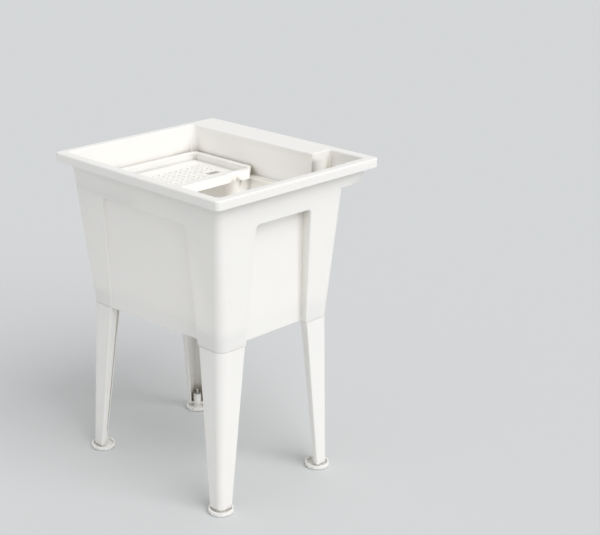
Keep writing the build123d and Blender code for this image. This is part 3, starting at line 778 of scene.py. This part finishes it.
def stand_camera(stage):
    """Stand the camera where the photograph was taken from."""
    eye = bpy.data.cameras.new("camera")
    eye.sensor_width = stage.sensor_width
    eye.lens = stage.focal_length
    eye.shift_x, eye.shift_y = stage.lens_shift
    camera = bpy.data.objects.new("camera", eye)
    camera.matrix_world = (
        Matrix.Translation(stage.camera_place)
        @ Matrix.Rotation(stage.heading, 4, "Z")
        @ Matrix.Rotation(math.pi / 2 - stage.tilt, 4, "X")
        @ Matrix.Rotation(stage.roll, 4, "Z")
    )
    bpy.context.scene.collection.objects.link(camera)
    bpy.context.scene.camera = camera


# ---- operators ----

class MouldTub(bpy.types.Operator):
    """Finish the tub's moulding: rim, deck, pocket, bowl and apron"""

    bl_idname = "sink.mould_tub"
    bl_label = "Mould Tub"

    def execute(self, context):
        finish = context.scene.sink_finish
        skin = white_polypropylene(finish)
        soft_skin("tub", "tub_moulding", skin, finish.smooth_angle)
        return {"FINISHED"}


class MouldTray(bpy.types.Operator):
    """Finish the sliding tray with its perforated floor and finger slot"""

    bl_idname = "sink.mould_tray"
    bl_label = "Mould Tray"

    def execute(self, context):
        finish = context.scene.sink_finish
        skin = white_polypropylene(finish)
        soft_skin("perforated_tray", "tray_moulding", skin, finish.smooth_angle)
        return {"FINISHED"}


class MouldLegs(bpy.types.Operator):
    """Finish the four channel legs"""

    bl_idname = "sink.mould_legs"
    bl_label = "Mould Legs"

    def execute(self, context):
        finish = context.scene.sink_finish
        skin = white_polypropylene(finish)
        for corner in CORNERS:
            soft_skin(
                "leg_" + corner, "leg_moulding_" + corner, skin, finish.smooth_angle
            )
        return {"FINISHED"}


class MouldFeet(bpy.types.Operator):
    """Finish the four levelling feet"""

    bl_idname = "sink.mould_feet"
    bl_label = "Mould Feet"

    def execute(self, context):
        finish = context.scene.sink_finish
        # The feet take a small share of the painted corner shade.
        skin = moulded_plastic(
            "injection_moulded_polyethylene", finish.foot_white, finish.foot_roughness,
            finish, finish.foot_shade_share,
        )
        for corner in CORNERS:
            soft_skin(
                "levelling_foot_" + corner, "foot_moulding_" + corner, skin,
                finish.foot_smooth_angle,
            )
        return {"FINISHED"}


class ThreadStuds(bpy.types.Operator):
    """Roll the threads of the foot studs and finish their nuts"""

    bl_idname = "sink.thread_studs"
    bl_label = "Thread Studs"

    def execute(self, context):
        sizes = context.scene.sink_threads
        steel = zinc_plated_steel(context.scene.sink_fittings)
        for corner in CORNERS:
            node = "foot_stud_" + corner
            low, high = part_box(node)
            piece = roll_thread(
                "rolled_stud_" + corner,
                {
                    "Outer Radius": (high[0] - low[0]) / 2,
                    "Ridge Depth": sizes.stud_depth,
                    "Pitch": sizes.stud_pitch,
                    "Length": high[2] - low[2],
                    "Steps": sizes.stud_steps,
                    "Base": ((low[0] + high[0]) / 2, (low[1] + high[1]) / 2, low[2]),
                    "Material": steel,
                },
                sizes.smooth_angle, body_of_node[node],
            )
            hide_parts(node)
            dress("leg_nut_" + corner, steel)
        return {"FINISHED"}


class FitDrain(bpy.types.Operator):
    """Finish the strainer, its rings and nuts, the outlet tube and the stopper"""

    bl_idname = "sink.fit_drain"
    bl_label = "Fit Drain"

    def execute(self, context):
        finish = context.scene.sink_finish
        fittings = context.scene.sink_fittings
        sizes = context.scene.sink_threads
        skin = white_polypropylene(finish)
        for node in DRAIN_MOULDINGS:
            soft_skin(node, node + "_moulding", skin, finish.smooth_angle)
        rubber = moulded_rubber(fittings)
        soft_skin(
            "sink_stopper", "stopper_moulding", rubber, finish.smooth_angle
        )
        for node in ("drain_gasket", "tailpiece_seal"):
            dress(node, rubber)
        dress("friction_washer", pressed_fibre(fittings))
        low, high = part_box("drain_strainer")
        thread_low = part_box("coupling_nut")[1][2] + sizes.barrel_pitch
        thread_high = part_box("drain_locknut")[0][2]
        roll_thread(
            "barrel_thread",
            {
                "Outer Radius": sizes.barrel_radius,
                "Ridge Depth": sizes.barrel_depth,
                "Pitch": sizes.barrel_pitch,
                "Length": thread_high - thread_low,
                "Steps": sizes.barrel_steps,
                "Base": ((low[0] + high[0]) / 2, (low[1] + high[1]) / 2, thread_low),
                "Material": skin,
            },
            sizes.smooth_angle, body_of_node["drain_strainer"],
        )
        return {"FINISHED"}


class SetStage(bpy.types.Operator):
    """Lay the pale floor, light it softly and stand the camera"""

    bl_idname = "sink.set_stage"
    bl_label = "Set Stage"

    def execute(self, context):
        stage = context.scene.sink_stage
        lay_floor(stage)
        light_room(stage)
        add_sun("broad_key", stage.key, stage.key_softness, stage.key_from)
        # Stands for the light that the white walls throw about inside the bowl.
        add_panel(
            "bowl_fill", stage.bowl_fill, stage.bowl_fill_size, stage.bowl_fill_place,
            stage.bowl_fill_towards,
        )
        stand_camera(stage)
        context.scene.view_settings.view_transform = "Standard"
        return {"FINISHED"}


OPERATORS = (MouldTub, MouldTray, MouldLegs, MouldFeet, ThreadStuds, FitDrain, SetStage)
SETTINGS = {
    "sink_finish": MouldedFinish,
    "sink_fittings": FittingFinish,
    "sink_threads": ThreadSizes,
    "sink_stage": StageSettings,
}


class SinkPanel(bpy.types.Panel):
    """Buttons and sizes for the laundry sink"""

    bl_idname = "VIEW3D_PT_laundry_sink"
    bl_label = "Laundry Sink"
    bl_space_type = "VIEW_3D"
    bl_region_type = "UI"
    bl_category = "Laundry Sink"

    def draw(self, context):
        for operator in OPERATORS:
            self.layout.operator(operator.bl_idname)
        for name in SETTINGS:
            settings = getattr(context.scene, name)
            box = self.layout.box()
            for field in settings.bl_rna.properties:
                if field.identifier not in ("rna_type", "name"):
                    box.prop(settings, field.identifier)


CLASSES = (*SETTINGS.values(), *OPERATORS, SinkPanel)


def register():
    """Make the settings, buttons and panel known."""
    for known in CLASSES:
        bpy.utils.register_class(known)
    for name, group in SETTINGS.items():
        setattr(bpy.types.Scene, name, PointerProperty(type=group))


def unregister():
    """Take them away again."""
    for name in SETTINGS:
        delattr(bpy.types.Scene, name)
    for known in reversed(CLASSES):
        bpy.utils.unregister_class(known)


def main():
    """Run every button in order."""
    register()
    for operator in OPERATORS:
        group, name = operator.bl_idname.split(".")
        getattr(getattr(bpy.ops, group), name)()


if __name__ == "__main__":
    main()
